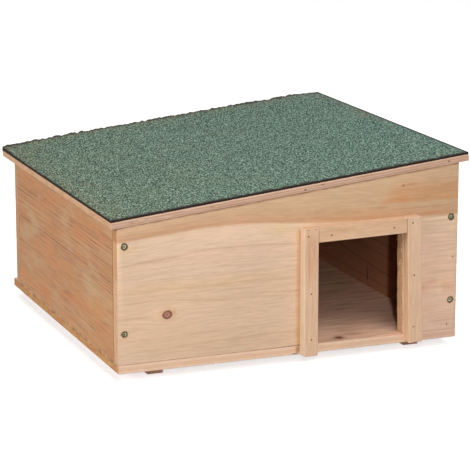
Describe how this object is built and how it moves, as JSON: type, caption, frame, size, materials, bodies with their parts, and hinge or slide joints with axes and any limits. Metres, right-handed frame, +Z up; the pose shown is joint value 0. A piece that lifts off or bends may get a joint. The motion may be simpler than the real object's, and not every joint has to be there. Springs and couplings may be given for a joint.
{
  "type": "hedgehog house",
  "caption": "Low wooden shelter box with a framed doorway near one end, a floor on two bearers and a felted single-slope roof that hinges up at the back for cleaning.",
  "frame": {"origin": "bottom centre of the whole object's box, on the surface that the bearers stand on", "axes": "+X to the right along the front, +Y from the doorway side to the back, +Z up"},
  "size_m": [0.4817, 0.4946, 0.2559],
  "materials": {
    "softwood_board": "planed softwood board with a thin clear oil, matt to satin",
    "softwood_batten": "planed softwood batten, matt to satin",
    "plywood": "thin plywood with sawn edges, matt",
    "mineral_felt": "bitumen roofing felt with green mineral grit on top and black cut edges",
    "passivated_screw": "yellow-passivated zinc plate, slightly dulled",
    "nail_steel": "bright steel gone dull",
    "hinge_steel": "zinc-plated pressed steel"
  },
  "bodies": {
    "house": {"floor_board": "plywood", "left_bearer": "softwood_batten", "right_bearer": "softwood_batten", "front_panel": "softwood_board", "back_panel": "softwood_board", "left_side_panel": "softwood_board", "right_side_panel": "softwood_board", "left_door_jamb": "softwood_batten", "right_door_jamb": "softwood_batten", "door_lintel": "softwood_batten", "front_screws": "passivated_screw", "back_screws": "passivated_screw", "floor_screws": "passivated_screw", "bearer_nails": "nail_steel", "door_frame_brads": "nail_steel", "wall_hinge_screws": "hinge_steel", "left_hinge_wall_leaf": "hinge_steel", "left_hinge_pin": "hinge_steel", "right_hinge_wall_leaf": "hinge_steel", "right_hinge_pin": "hinge_steel"},
    "roof": {"roof_board": "plywood", "roof_felt": "mineral_felt", "roof_hinge_screws": "hinge_steel", "left_hinge_roof_leaf": "hinge_steel", "right_hinge_roof_leaf": "hinge_steel"}
  },
  "joints": [
    {"name": "roof_hinge", "type": "hinge", "parent": "house", "child": "roof", "pos_m": [0, 0.2136, 0.21697], "axis": [-0.9948, 0, -0.1016], "range_deg": [0, 95]}
  ]
}
